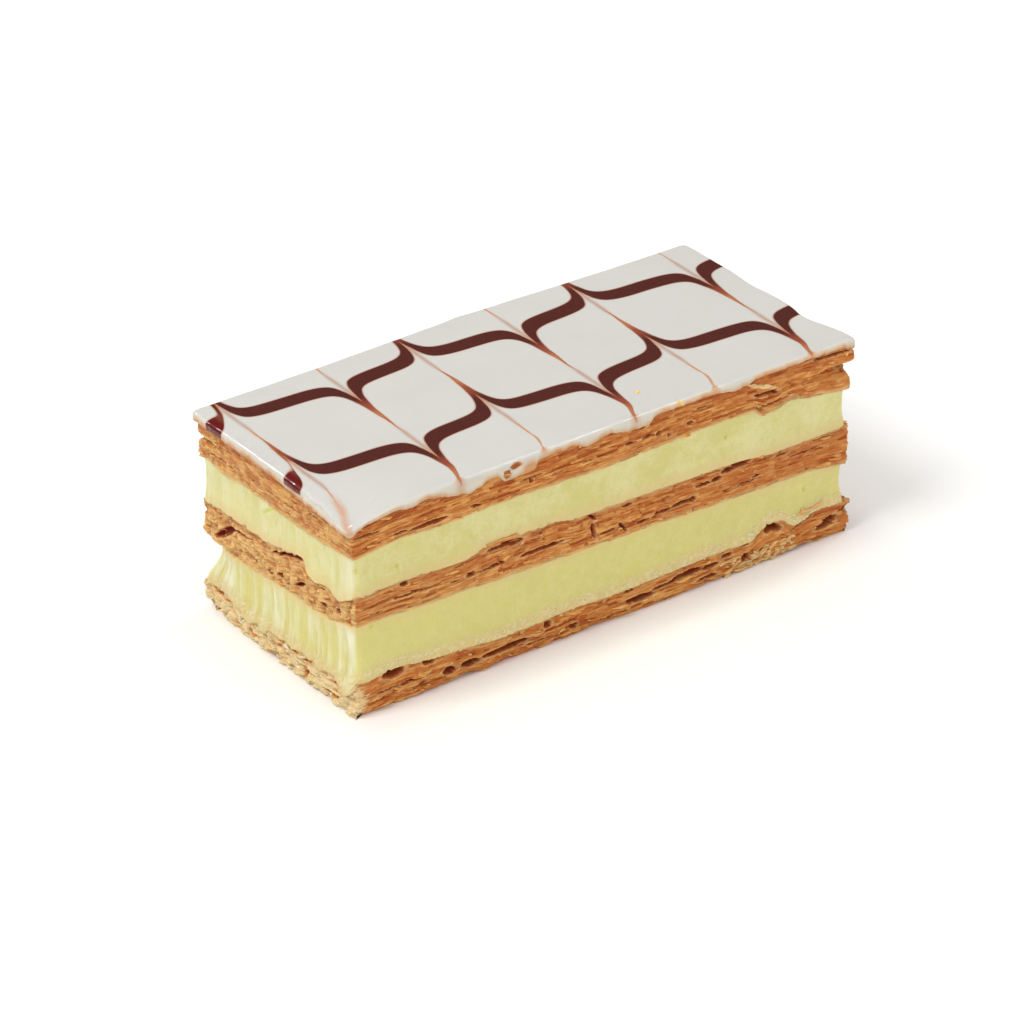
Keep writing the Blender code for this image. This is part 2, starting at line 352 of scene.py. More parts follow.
# Each crust lies between two seams. Stand is how far its wall stands out. Undercut and lift shape its foot,
# bend and blocks say how crooked its leaves run, ragged and torn how rough it is, and chance between which
# heights hollows are spread where none are known. The known ones are place along the wall, z, length, height,
# depth and, where one leans, its slope. Bites are x, y, z, reach, height and depth. Calm makes the left end
# smoother, toast and pale are strengths of colours, and dark is how strong the painted shade is in
# hollows, grooves and cracks.
crusts = {
    "crustBottom": dict(
        node="crust_bottom", low="table", high="baseTop", leaves=10, stand=(0.9, 0.8, 0.1, -0.2), seed=3,
        undercut=0.7, lift=0.8, bend=1.6, blocks=0.9, ragged=1.3, torn=1.1, chance=(1.2, 5.0),
        front=[
            (-47.5, 6.8, 4.8, 2.0, 3.2), (-40, 6.5, 2.8, 1.2, 2.2), (-31, 2.7, 4.4, 1.5, 2.8),
            (-35.5, 2.6, 2.6, 1.7, 1.8), (-23, 3.1, 12, 1.2, 2.0), (-46, 3.6, 10, 0.5, 1.4),
            (-42, 2.0, 4, 0.4, 1.0), (-14, 4.6, 1.8, 1.4, 1.5), (-15, 1.8, 8, 0.5, 1.2),
            (-8, 2.0, 2, 1.2, 1.2), (4, 5.2, 2, 0.6, 1.0), (6.5, 2.8, 6, 1.4, 3.0), (12, 3.6, 6, 0.8, 1.6),
            (17.3, 4.0, 7, 1.2, 3.0), (22.8, 3.8, 4, 0.9, 1.8), (22, 1.5, 5, 1.0, 1.8),
            (26.5, 4.8, 2.5, 1.0, 1.4), (31, 2.6, 1.8, 2.0, 2.5), (35.5, 3.1, 4, 0.35, 0.8),
            (30.5, 5.6, 2, 0.6, 0.8), (36.5, 7.2, 2.4, 1.8, 3.8, 0.4), (38.2, 6.6, 2.6, 1.4, 3.8, -0.3),
            (50.2, 3.5, 5.4, 1.8, 3.6, 0.2), (44, 5.4, 6, 0.4, 1.0, 0.35), (46, 6.6, 5, 0.4, 1.0, 0.3),
        ],
        bites=[(-55.5, 25.5, 0.4, 7, 1.4, 1.8), (56, -25, 4.6, 4, 0.8, 1.2)],
        toast=0.35, calm=0.75, pale=1.0, dark=1.0,
        left=[
            (-18, 4.6, 7, 0.5, 1.0), (-9.5, 4.5, 4, 0.5, 1.2), (-4.5, 4.8, 4, 0.8, 1.4),
            (19, 5.2, 6, 0.8, 1.6, 0.1), (-17, 1.6, 5, 0.7, 0.8), (8.5, 1.8, 3.5, 1.2, 1.0),
            (-9, 1.8, 2, 1.6, 1.0),
        ],
    ),
    "crustMiddle": dict(
        node="crust_middle", low="middleFoot", high="middleTop", leaves=12, stand=(0.1, 0.1, 0.0, -0.3),
        seed=11, undercut=0.0, lift=0.0, bend=1.0, blocks=1.0, ragged=0.9, torn=1.2, chance=(17.5, 21.5),
        front=[
            (-44.5, 23.9, 1.6, 0.9, 1.2), (-43, 21.6, 8, 0.4, 0.8), (-50.5, 20.1, 3, 0.4, 0.7),
            (-30.5, 20.8, 2.2, 0.9, 2.0), (-33.8, 20.7, 2.2, 0.4, 0.8), (-26.5, 20.7, 5.5, 0.5, 1.0),
            (-23.5, 20.8, 1.0, 0.7, 1.2), (-23, 24.2, 8, 0.8, 1.4), (-20.8, 24.1, 3.4, 1.1, 1.8),
            (-15, 20.7, 10, 0.8, 1.6), (-16.3, 23.1, 2.2, 0.4, 0.8), (-15, 23.9, 0.8, 0.5, 0.8),
            (-14, 25.2, 10, 0.3, 0.6), (-4.1, 23.5, 2.2, 0.9, 1.2, -0.9), (-3.5, 20.3, 1.2, 2.6, 1.5, -1.2),
            (-0.3, 19.1, 3.4, 0.6, 1.0), (3.0, 18.9, 2.0, 1.0, 1.6, -1.1), (7.6, 18.5, 3, 0.5, 0.8),
            (3.9, 23.1, 2.4, 0.4, 0.8), (12, 19.0, 4, 0.7, 1.6), (16, 19.3, 4.2, 0.9, 2.2),
            (18.7, 19.3, 1.5, 1.2, 2.0), (21, 21.5, 3.5, 0.6, 1.0), (24.1, 21.6, 2.2, 1.0, 1.8),
            (26.7, 22.5, 3, 0.9, 1.8), (30, 22.9, 4.4, 1.4, 2.8), (33.5, 19.1, 2, 0.5, 0.8),
            (44.5, 20.4, 8, 0.4, 0.8), (26.5, 18.5, 2.5, 0.4, 0.6), (31, 18.5, 4, 0.35, 0.6),
            (39, 21.6, 4, 0.3, 0.6), (48, 22.0, 5, 0.3, 0.6),
        ],
        bites=[(-56, 26, 20.2, 2.5, 0.5, 0.8)],
        toast=0.5, calm=0.4, pale=1.5, dark=1.0,
        left=[
            (17.6, 18.5, 7.4, 1.7, 1.2, -0.62), (12.4, 20.6, 8.0, 0.6, 1.2, -0.12),
            (-3.8, 23.5, 11.5, 0.7, 1.5, -0.29), (-7.4, 24.5, 3.6, 0.9, 1.5, -0.29), (9, 17.8, 2.5, 0.8, 1.2),
            (-1, 18.2, 2.5, 0.9, 1.2), (-7, 19.0, 3, 0.8, 1.2, -0.4), (-14.5, 18.5, 2.5, 1.0, 1.4),
            (-19.5, 19.3, 2.5, 0.8, 1.2), (-13.5, 21.8, 4, 0.6, 1.0), (3, 17.2, 2.5, 0.6, 1.0),
        ],
    ),
    "crustTop": dict(
        node="crust_top", low="lidFoot", high="lidTop", leaves=11, stand=(0.4, 0.4, 0.1, -0.1), seed=23,
        undercut=0.0, lift=0.0, bend=0.7, blocks=0.7, ragged=0.85, torn=0.45, chance=(33.5, 37.5),
        front=[
            (-52, 36.2, 6, 0.5, 0.8), (-39.3, 34.2, 9, 0.75, 0.9, 0.02), (-37.5, 34.1, 4, 0.8, 1.2),
            (-45, 34.4, 3, 0.5, 0.8), (-29, 34.3, 2.6, 0.5, 0.8, -0.2), (-25.5, 34.5, 1.8, 0.35, 0.7),
            (-17.2, 35.8, 5.2, 0.4, 0.9), (-17, 35.3, 1.0, 1.0, 1.2), (-11.4, 34.8, 3, 0.3, 0.6),
            (-4.6, 35.0, 2.8, 0.35, 0.6), (4.8, 35.5, 2.5, 0.5, 0.9), (8.4, 35.6, 2.6, 0.45, 0.9),
            (6.6, 34.0, 2.4, 0.35, 0.8), (11, 35.4, 1.5, 0.9, 1.0), (13.3, 34.4, 1.0, 0.9, 0.9),
            (18, 35.2, 1.5, 0.9, 0.9), (21, 37.6, 3, 0.5, 0.8), (35.5, 35.6, 5, 0.7, 1.2),
            (37, 33.2, 8, 0.55, 1.2, 0.06), (35.5, 35.5, 6, 0.7, 1.6, -0.2), (50.5, 38.7, 9, 0.6, 1.6, -0.05),
            (6.4, 37.8, 3.4, 0.3, 0.6),
        ],
        bites=[
            (56, -26, 35.4, 7, 0.5, 3.4), (56, -26, 34.2, 7, 1.1, 1.4), (56, -26, 37.2, 8, 1.4, -0.9),
            (-56, 26, 35.3, 5, 0.45, 2.4),
        ],
        toast=0.66, calm=0.3, pale=1.0, dark=0.8,
        left=[
            (0, 34.2, 30, 0.2, 0.6), (18, 33.6, 10, 0.4, 1.0), (24.3, 35.3, 3, 0.7, 2.2),
            (-12, 35.6, 12, 0.2, 0.5),
        ],
    ),
}


# hollows on the sides that nothing is known about, spread by a fixed seed
def chanceHollows(seed, count, reach, foot, top):
    chance = random.Random(seed)
    hollows = []
    for number in range(count):
        place = -reach + 2 * reach * (number + chance.random()) / count
        long = 1.2 + 5 * chance.random() ** 2
        z = foot + (top - foot) * chance.random()
        tall, deep = 0.25 + chance.random() * 0.5, 0.7 + chance.random() * 1.5
        hollows.append((place, z, long, tall, deep, chance.uniform(-0.1, 0.1)))
    return hollows


# one hollow as a node of its own: a jagged lens that goes deep, with painted shade in it
# and a painted highlight round its rim
def hollowGroup():
    results = ["Depth", "DeepShade", "Rim"]
    names = ["Along", "Height", "Mask", "Jag", *results, "Place", "Z", "Length", "Tall", "Hollow", "Slope"]
    group = bpy.data.node_groups.new("hollow", "GeometryNodeTree")
    for way, labels in (("INPUT", names), ("OUTPUT", results)):
        for label in labels:
            group.interface.new_socket(label, in_out=way, socket_type="NodeSocketFloat")
    tree = Tree(group)
    inlet = group.nodes.new("NodeGroupInput")
    wire = {name: Wire(tree, inlet.outputs[name]) for name in names}
    along = wire["Along"] - wire["Place"]
    far = along / (wire["Length"] / 2)
    high = (wire["Height"] - wire["Z"] - along * wire["Slope"] + wire["Jag"]) / (wire["Tall"] / 2)
    away = far * far + high * high + abs(wire["Jag"]) * 600
    spans = ((0.5, 1.05), (0.75, 1.15), (1.0, 2.4))
    inside, dark, rim = [(1 - away.rise(*span)) * wire["Mask"] for span in spans]
    dark = dark * (0.68 + high.rise(-0.9, 0.1) * 0.32)  # painted shade, darkest under its upper lip
    made = dict(zip(results, (inside * wire["Hollow"], dark, rim)))
    tree.add("NodeGroupOutput", {}, {label: wire[label].most(value) for label, value in made.items()})
    return group


hollowNode = hollowGroup()


# A laminated wall. Strata counts the leaves upwards, and it bends and breaks before it is cut into leaves, so
# lines run along the crust, wander a little, and are shifted where a block has cracked.
def growCrust(name, spec, material):
    leaves, rows, seed = spec["leaves"], crustGrid["rows"], spec["seed"]
    sizes = ringSizes(crustGrid, spec["stand"])
    sizes.update({"Ragged": spec["ragged"] * mm, "Bend": spec["bend"], "Blocks": spec["blocks"]})
    tree, size = geometryTree(name, sizes)
    ring = Rings(tree, size, rows)
    level = ring.wallRow / (rows - 1)
    low = seamHeight(spec["low"], ring.capX, ring.capY)
    high = seamHeight(spec["high"], ring.capX, ring.capY)
    height = low + (high - low) * level
    free = 1.0
    if spec["low"] == "table":
        free = level.rise(0.0, 0.4)
    if spec["high"] == "lidTop":
        free = 1 - level.rise(0.7, 1.0)
    free = (1 - ring.inset) * free
    jag = ring.noise(seed + 80, height, 0.8, 2.0, 0.7)

    # blocks that have cracked apart and slipped against each other
    block = 9
    blockSpace = tree.point(ring.x + jag * 1.2 * mm, ring.y + jag * 1.2 * mm, seed * sliceGap + height * 0.5)
    slip, cracked = tree.dice(blockSpace, block * mm)
    crack = 1 - (tree.cells(blockSpace, block * mm, "DISTANCE_TO_EDGE") * block).rise(0.0, 0.22)
    crack = crack * cracked.rise(0.5, 0.6) * ring.noise(seed + 33, height, 2.5).rise(-0.02, 0.1)
    slip = (slip - 0.5) * size["Blocks"]
    bendSpace = tree.point(ring.x, ring.y, seed * 0.011 + height * 0.4)
    bend = tree.noise(bendSpace, 11 * mm, 2.0) * 2 * size["Bend"]
    strata = level * leaves + (bend + slip * 0.8 + jag * 0.3)
    leaf = strata.math("FLOOR")
    gap = (strata + 0.5).math("FLOOR")
    outer = level.rise(0.55, 1.0) + 1 - level.rise(0.0, 0.45)
    height = height + (slip * 0.45 * outer + jag * 0.2) * mm * free

    # leaves that stand in and out, with fibres along them and grooves between
    leafSpace = tree.point(ring.x + jag * 0.8 * mm, ring.y + jag * 0.8 * mm, (leaf + seed) * sliceGap)
    chunk, tone = tree.dice(leafSpace, 5.5 * mm)
    shard, glow = tree.dice(leafSpace, 2.2 * mm)
    fibre = tree.noise(tree.point(ring.x, ring.y, strata * 9 * mm + seed), 2.6 * mm, 2.0, 0.6)
    grit = ring.noise(seed + 40, height, 0.6, 3.0, 0.65)
    sway = tree.noise(tree.point(ring.x, ring.y, height * 0.6), 10 * mm, 2.0)
    missing = chunk.rise(0.86, 0.88) * (0.45 - ring.left * 0.25)
    ragged = (chunk - 0.5) * 0.34 + (shard - 0.5) * 0.2 + fibre * 0.4 + grit * 0.22 + sway * 0.6
    ragged = ragged - missing - 0.2
    proud = ragged * size["Ragged"]
    # kept for the finish, which paints light on what stands out and shade on what sinks in
    reliefShading = ragged - sway * 0.6 + 0.5
    parted = ring.noise(gap + seed + 50, 0.0, 3, 3.0, 0.62).rise(0.03, 0.15)  # where leaves have come apart
    groove = 1 - abs(strata - gap).rise(0.0, 0.12 + 0.12 * parted)
    calm = 1 - ring.left * spec["calm"]
    # deep paints shade in grooves and cracks, over the browner colour the pastry has inside them
    depth = (groove * (0.07 + 0.38 * parted * calm)).most(crack * 0.5) * mm
    deep = (groove * (0.22 + 0.5 * parted)).most(crack * 0.6) * calm

    # the left end is torn rather than cut: crumbs and tatters
    tatter = tree.point(ring.x * 1.2, ring.y * 1.2, height)
    crumb = 0.45 - tree.cells(tatter, 2.5 * mm)
    torn = ring.left * spec["torn"] * mm
    upright = tree.noise(tree.point(ring.x, ring.y, height * 0.3), 1.6 * mm, 2.0, 0.6)
    tatters = crumb + grit * 0.22 + upright * 0.6
    proud = proud + torn * tatters
    reliefShading = reliefShading + ring.left * (tatters * 0.7 - 0.06)

    # hollows: known ones in front and at the left, chance ones elsewhere
    halfLong, halfWide = slab["length"] / mm / 2, slab["width"] / mm / 2
    sides = dict(front=spec["front"], left=spec["left"])
    sides["back"] = chanceHollows(seed + 1, 14, halfLong - 2, *spec["chance"])
    sides["right"] = chanceHollows(seed + 2, 8, halfWide - 2, *spec["chance"])
    rim = 0.0
    edge = jag * 0.6 * mm
    for wall, hollows in sides.items():
        mask, along = ring.side(wall)
        for place, z, length, tall, hollow, *lean in hollows:
            sockets = {
                "Along": along, "Height": height, "Mask": mask, "Jag": edge, "Depth": depth, "DeepShade": deep,
                "Rim": rim, "Place": place * mm, "Z": z * mm, "Length": length * mm, "Tall": tall * 1.2 * mm,
                "Hollow": hollow * mm, "Slope": lean[0] if lean else 0.0,
            }
            depth = tree.add("GeometryNodeGroup", {"node_tree": hollowNode}, sockets)
            deep, rim = depth.out("DeepShade"), depth.out("Rim")
    for x, y, z, reach, tall, bite in spec["bites"]:  # pieces of a corner that have broken away
        bitten = ring.x.bell(x * mm, reach * mm) * ring.y.bell(y * mm, reach * mm)
        proud = proud - bitten * height.bell(z * mm, tall * mm) * bite * mm
    proud = proud - depth - spec["undercut"] * mm * (1 - level) ** 3 * (1 - ring.left)
    if spec["lift"]:
        lifted = ring.noise(seed + 90, 0.0, 12).rise(0.0, 0.25)
        height = height + (1 - level) ** 4 * (1 - ring.inset) * lifted * spec["lift"] * mm

    # where the cream soaks in along a seam
    soak = 0.0
    if spec["low"] != "table":
        soak = level.rise(0.17, 0.0)
    if spec["high"] != "lidTop":
        soak = level.rise(0.83, 1.0) + soak
    proud = proud - soak * 0.1 * mm
    tone = tone * 0.2 + glow * 0.15 + (fibre * 1.6 + 0.5) * 0.45 + (grit + 0.5) * 0.2
    tone = tone + ring.left * (0.52 - tone) * 0.5
    toast = (level + fibre * 0.3 + (slip + bend) * 0.06).rise(0.68, 0.95) * spec["toast"]
    # the marks for deep, rim and relief carry painted shade and painted highlight to the finish
    marks = dict(deep=deep * spec["dark"], tone=tone, soak=soak, rim=rim, toast=toast, reliefShading=reliefShading)
    marks["leftEnd"] = ring.left * spec["pale"]
    endTree(tree, ring.place(proud, height, marks), material)
    return growPiece(name, tree, sizes)


creamGrid = dict(columns=900, rows=40, corner=1.6, past=0.7)

# Each cream's drips run down over the crust at its left end: y, half width and how far. Its slits are y, z,
# length, height and depth there. Foot is how much grain gathers low down. Chamfer makes the back left lean in.
creams = {
    "creamLower": dict(
        node="cream_lower", low="baseTop", high="middleFoot", stand=(0.2, -0.9, -0.3, -0.6), seed=5, foot=1.0,
        spread=0.5, chamfer=1.0, fade=2.2, strands=1.9, streaky=1.0, slits=[],
        drips=[(9.8, 2.4, 1.5), (4.6, 1.6, 0.9), (14.2, 1.4, 0.7), (-13.5, 1.6, 0.6), (-22.8, 2.0, 2.0)],
    ),
    "creamUpper": dict(
        node="cream_upper", low="middleTop", high="lidFoot", stand=(0.0, -0.5, -0.3, -0.6), seed=9, foot=0.15,
        spread=0.25, chamfer=0.0, fade=1.0, strands=0.8, streaky=0.55, slits=[(2.8, 29.5, 3.6, 0.8, 0.4)],
        drips=[(-13.0, 2.5, 0.9), (-20.5, 2.0, 0.8)],
    ),
}


# soft custard between two crusts: it fills their edges, so it reaches a little past both seams
def growCream(name, spec, material):
    rows, reach = creamGrid["rows"], creamGrid["past"] * mm
    sizes = ringSizes(creamGrid, spec["stand"])
    tree, size = geometryTree(name, sizes)
    ring = Rings(tree, size, rows)
    level = ring.wallRow / (rows - 1)
    low = seamHeight(spec["low"], ring.capX, ring.capY)
    high = seamHeight(spec["high"], ring.capX, ring.capY)
    drip = 0.0
    for y, halfWidth, fall in spec["drips"]:
        drip = ring.left * ring.y.bell(y * mm, halfWidth * mm) * fall + drip
    drip = drip * (1 - ring.inset)
    foot = low - drip * mm
    height = foot - reach + (high - foot + 2 * reach) * level
    here = ring.apart(spec["seed"], height)
    past = (foot - height).most(height - high) / mm
    ripple = tree.noise(here, 0.9 * mm, 2.0, 0.6) * 0.7
    past = (past + ripple * past.rise(-0.7, -0.1)).most(0)  # how far past its seam
    slow = tree.noise(here, 13 * mm, 1.0) * 0.5 + tree.noise(here, 4 * mm, 2.0) * 0.3
    slow = slow + tree.noise(here, 1.2 * mm, 2.0) * 0.16
    hollow = ((level - 0.5) * 2) ** 2 * 0.35 - 0.35
    lap = (0.3 - tree.noise(here, 2.2 * mm, 3.0, 0.6)).most(0.05) * past + (past - 0.25).most(0) * 6
    proud = slow + hollow + (1 - level) ** 3 * spec["spread"] - lap

    # knife marks that run down the left end, and fainter ones on the other sides
    streak = tree.noise(tree.point(ring.x, ring.y + spec["seed"] * 0.01, height * 0.13), 2.6 * mm, 3.0, 0.65)
    proud = proud + ring.left * streak * spec["strands"] + (1 - ring.left) * streak * 0.12
    proud = proud + drip * (1 - ((height - low) / mm).rise(-0.3, 2.5)) * 0.45
    proud = proud + ring.left * ring.y.rise(-16 * mm, -23 * mm) * 0.35

    # small pits, and grains that gather along the foot
    bubble = tree.cells(tree.point(ring.x, ring.y, spec["seed"] * 0.03 + height * 0.6), 3.0 * mm)
    lucky, big, _ = tree.parts(bubble.out("Color"))
    pit = (1 - bubble.rise(0.03, 0.1 + 0.1 * big)) * lucky.rise(0.7, 0.72)
    small = tree.cells(here, 0.9 * mm)
    band = ((height - low) / mm).rise(3.4, 0.6) * spec["foot"]
    crumbs = tree.noise(here, 0.6 * mm, 3.0, 0.7)
    grain = ((0.6 - small).most(0) + crumbs.rise(-0.15, 0.25) * 0.8) * band
    proud = proud - pit * 0.4 + grain * 0.36
    for y, z, length, tall, depth in spec["slits"]:
        slope = height + (ring.y - y * mm) * 0.7
        away = ring.y.bell(y * mm, length / 2 * mm) * slope.bell(z * mm, tall / 2 * mm) * ring.left
        proud = proud - away * depth
        pit = pit.most(away * 1.3)
    ends = level.rise(0.0, 0.04) * (1 - level.rise(0.96, 1.0))
    proud = (proud - (1 - ends) * 0.8) * mm
    nearFoot = ((height - foot) / mm).rise(0.1, 2.6)
    nearTop = ((high - height) / mm).rise(-0.2, spec["fade"])
    marks = dict(pit=pit, grain=grain, band=band, leftEnd=ring.left, behind=past)
    # the streak mark also paints highlight on the ridges of the knife marks and shade in their furrows
    marks["streak"] = streak * spec["streaky"] + 0.5
    marks["seamward"] = (1 - nearFoot).most(1 - nearTop)
    shift = 0.0
    if spec["chamfer"]:  # the back left corner leans in towards its top
        shift = ring.y.rise(13 * mm, 24 * mm) * (-ring.x).rise(44 * mm, 55 * mm)
        shift = shift * level.rise(0.1, 0.95) * -5.0 * mm
    endTree(tree, ring.place(proud, height, marks, shift), material)
    return growPiece(name, tree, sizes)


icingSpec = dict(
    node="icing", top=40.4, stand=(1.0, 0.4, 0.0, 0.5), roll=(0.9, 0.9), thick=0.1,
    rows=30, capRows=12, columns=1000, corner=1.4,
    # lower edge of the skirt along each side, from left to right or from front to back
    front=[
        (-55.3, 36.2), (-53.8, 37.3), (-52, 38.0), (-46, 38.8), (-43, 38.3), (-40, 38.9), (-37, 38.3),
        (-32.5, 37.3), (-30.5, 36.7), (-28.5, 37.4), (-26, 38.3), (-24.4, 38.4), (-22.8, 36.5), (-19, 36.6),
        (-16.6, 36.9), (-15.4, 38.8), (-10, 38.8), (-8.5, 39.3), (-5, 37.8), (0, 38.9), (4, 37.9),
        (8.5, 37.6), (10, 39.3), (22, 39.4), (25, 39.0), (28, 38.3), (31, 38.5), (33, 39.4), (50, 39.4),
        (53, 39.2), (55.4, 38.2),
    ],
    left=[
        (-25, 36.5), (-20.5, 36.9), (-15, 37.3), (-11, 37.6), (-5, 38.2), (2, 38.6), (12, 38.6), (25, 38.6),
    ],
    back=[(-55, 38.2), (-40, 38.6), (-22, 37.9), (-4, 38.7), (14, 38.0), (33, 38.8), (55, 38.4)],
    right=[(-25, 38.2), (-12, 38.8), (2, 38.0), (14, 38.7), (25, 38.4)],
    waves=[  # wall, place along it, reach and how far the wall swings out there
        ("right", -23, 5, 1.0), ("right", -12.5, 4, -1.0), ("right", 4, 5, -0.5),
        ("back", 5, 24, 1.05), ("back", 3, 2.5, 0.35),
    ],
    blobs=[(16.6, 2.2, 38.3), (-8.4, 2.0, 38.2)],  # y, half width, lowest point: chocolate over the left rim
    holes=[(-20.3, 39.4, 1.25, 0.65), (-22.3, 38.3, 0.8, 0.9)],  # in the skirt: x, z and half sizes
)


# poured icing: a flat top that rolls over its rim into a thin ragged skirt
def growIcing(spec, material):
    rows = spec["rows"]
    sizes = ringSizes(spec, spec["stand"])
    sizes["Top"] = spec["top"] * mm
    tree, size = geometryTree("icing", sizes)
    ring = Rings(tree, size, rows, spec["capRows"])
    rollOut, rollDown = spec["roll"]
    down = (1 - ring.left * 0.45) * rollDown * mm
    shoulder = size["Top"] - down
    edge = 0.0
    for wall in ("front", "left", "back", "right"):
        mask, along = ring.side(wall)
        edge = edge + mask * through(along, spec[wall])
    total = ring.front + ring.left + ring.back + ring.right
    edge = edge / total.most(0.01)
    edge = edge + ring.noise(3, 0.0, 1.8, 3.0, 0.65) * 1.1 * mm
    blob = 0.0
    for y, halfWidth, lowest in spec["blobs"]:
        near = ring.y.bell(y * mm, halfWidth * mm) * ring.left
        blob = near + blob
        edge = edge + near * ((lowest - 37.9) * mm)
    edge = edge.least(size["Top"] - 0.5 * mm)

    # up from the skirt's ragged edge and over the rolled rim
    part = ring.wallRow / (rows - 1)
    height = edge + (size["Top"] - edge) * (part * (math.pi / 2)).math("SINE")
    rolled = ((height - shoulder) / down).within()
    rolled = 1 - (1 - rolled * rolled).math("SQRT")
    lip = 1 - part.rise(0.0, 0.12)
    swell = ring.noise(8, 0.0, 9) * 0.5 + ring.noise(8, 0.0, 2.6, 2.0) * (0.35 + ring.left * 0.7)
    tilt = 0.0
    for wall, place, reach, far in spec["waves"]:
        mask, along = ring.side(wall)
        tilt = mask * along.bell(place * mm, reach * mm) * far + tilt
    lumpy = ring.left * (-ring.y).rise(8 * mm, 15 * mm) * ring.noise(9, height, 2.2)
    thick = spec["thick"] + (swell * 0.5 + lumpy * 1.2) * (1 - lip)
    out = thick + tilt - lip**2 * 1.4 - rolled * rollOut * (1 + 0.4 * swell) + blob * 0.15 * (1 - rolled)
    flat = tree.point(ring.capX, ring.capY, 0.0)
    high = part.rise(0.5, 1.0)
    height = height + tree.noise(flat, 26 * mm, 1.0) * 0.25 * mm * high
    height = height + blob * 0.12 * mm * part.rise(0.2, 0.8) * (1 - ring.inset) ** 30

    # the pressed corner at the left front sinks
    away = ((ring.capX + slab["length"] / 2) ** 2 + (ring.capY + slab["width"] / 2) ** 2).math("SQRT")
    sag = away.bell(0.0, 9 * mm) + away.bell(0.0, 4.2 * mm) * 1.4
    height = height - sag * mm * part.rise(0.1, 0.9)
    under = seamHeight("lidTop", ring.capX, ring.capY) - 0.4 * mm
    below = (ring.wallRow < 0.5) * (1 - ring.onWall)
    height = height * (1 - below) + under * below
    thin = (1 - (height - edge).rise(0.0, 2.8 * mm)) * (1 - part.rise(0.55, 1.0))
    hole = 0.0
    for x, z, halfLong, halfTall in spec["holes"]:
        away = ((ring.x - x * mm) / (halfLong * mm)) ** 2 + ((height - z * mm) / (halfTall * mm)) ** 2
        away = away + ring.noise(5, height, 0.7, 2.0) * 1.1
        hole = (1 - away.rise(0.55, 1.1)) * ring.front * ring.onWall + hole
    out = out - hole * 0.9
    # the wall mark paints the side lighter and warmer than the top: painted light
    wall = ring.onWall * (1 - part.rise(0.45, 0.85))
    marks = dict(thin=thin * ring.onWall, hole=hole, wall=wall)
    endTree(tree, ring.place(out * mm, height, marks), material)
    return growPiece("pouredIcing", tree, sizes)


nearWalls = dict(x=52.5 * mm, y=23.5 * mm)  # flakes lie further out than this
flakeSpec = dict(
    crustBottom=dict(Count=60.0, Seed=4, Long=1.7 * mm),
    crustMiddle=dict(Count=38.0, Seed=12, Long=1.4 * mm),
    crustTop=dict(Count=26.0, Seed=31, Long=1.4 * mm),
)


# loose flakes that lie in the leaves of a crust's walls
def growFlakes(host, spec, material):
    sizes = dict(spec, Thick=0.11 * mm)
    tree, size = geometryTree(host.name + "Flakes", sizes, True)
    _, _, outZ = tree.parts(tree.add("GeometryNodeInputNormal"))
    place = tree.add("GeometryNodeInputPosition")
    x, y, _ = tree.parts(place)
    nearWall = (abs(x - slab["middle"]) > nearWalls["x"]).most(abs(y) > nearWalls["y"])
    upright = nearWall * (abs(outZ) < 0.8)
    density = size["Count"] * 400.0
    sockets = {"Mesh": size["Host"], "Selection": upright, "Density": density, "Seed": size["Seed"]}
    scattered = tree.add("GeometryNodeDistributePointsOnFaces", {"distribute_method": "RANDOM"}, sockets)
    facingX, facingY, _ = tree.parts(scattered.out("Normal"))
    chance, tilt, pitch, turn = [
        tree.add("FunctionNodeRandomValue", {"data_type": "FLOAT"}, {"Min": low, "Max": high, "Seed": seed})
        for low, high, seed in ((0.0, 1.0, 5), (-0.25, 0.25, 6), (-0.35, 0.35, 7), (-0.6, 0.6, 8))
    ]
    bead = tree.add("GeometryNodeMeshIcoSphere", {}, {"Radius": 1.0, "Subdivisions": 2})
    long = size["Long"] * (0.35 + chance**2 * 0.9)
    sockets = {"Points": scattered, "Instance": bead}
    sockets["Rotation"] = tree.point(tilt, pitch, facingY.angle(facingX) + turn)
    sockets["Scale"] = tree.point(long * 0.42, long, size["Thick"] * (0.7 + chance))
    flakes = tree.add("GeometryNodeInstanceOnPoints", {}, sockets)
    real = tree.add("GeometryNodeRealizeInstances", {}, {"Geometry": flakes})
    waves = tree.add("ShaderNodeTexNoise", {}, {"Vector": place, "Scale": 1 / (0.9 * mm), "Detail": 1.0})
    swings = zip(tree.parts(waves.out("Color")), (0.5, 0.5, 0.4))
    wobble = tree.point(*[(part - 0.5) * far * mm for part, far in swings])
    bent = tree.add("GeometryNodeSetPosition", {}, {"Geometry": real, "Offset": wobble})
    smooth = tree.add("GeometryNodeSetShadeSmooth", {}, {"Geometry": bent, "Shade Smooth": True})
    endTree(tree, smooth, material)
    return growPiece(host.name + "Flakes", tree, sizes, host)


# flakes that stand out one by one: wall, place along it, z, length, height, thickness, slope, finish
looseBits = dict(
    splinter=("front", 34.4, 37.5, 7.6, 0.9, 0.5, -0.37, "pale"),
    raisedLeaf=("front", -23.4, 25.5, 7.5, 0.7, 0.45, 0.03, "golden"),
    curledLeaf=("front", 46.2, 8.0, 6.5, 0.8, 0.5, 0.12, "pale"),
    curledTip=("front", 44.4, 7.6, 1.0, 2.6, 0.5, 0.1, "pale"),
    lowFlake=("front", 31.5, 1.3, 6.0, 0.8, 0.5, 0.1, "pale"),
    paleFlake=("front", 35.0, 2.4, 4.2, 0.9, 0.6, 0.28, "pale"),
    shortFlake=("front", 28.6, 3.2, 2.2, 0.8, 0.5, 0.5, "pale"),
    rimFlake=("top", (15.9, -24.9), 40.1, 0.6, 2.4, 1.0, 0.0, "crumb"),
    icingCrumb=("top", (12.0, -17.6), 40.4, 1.3, 1.2, 0.4, 0.0, "crumb"),
)
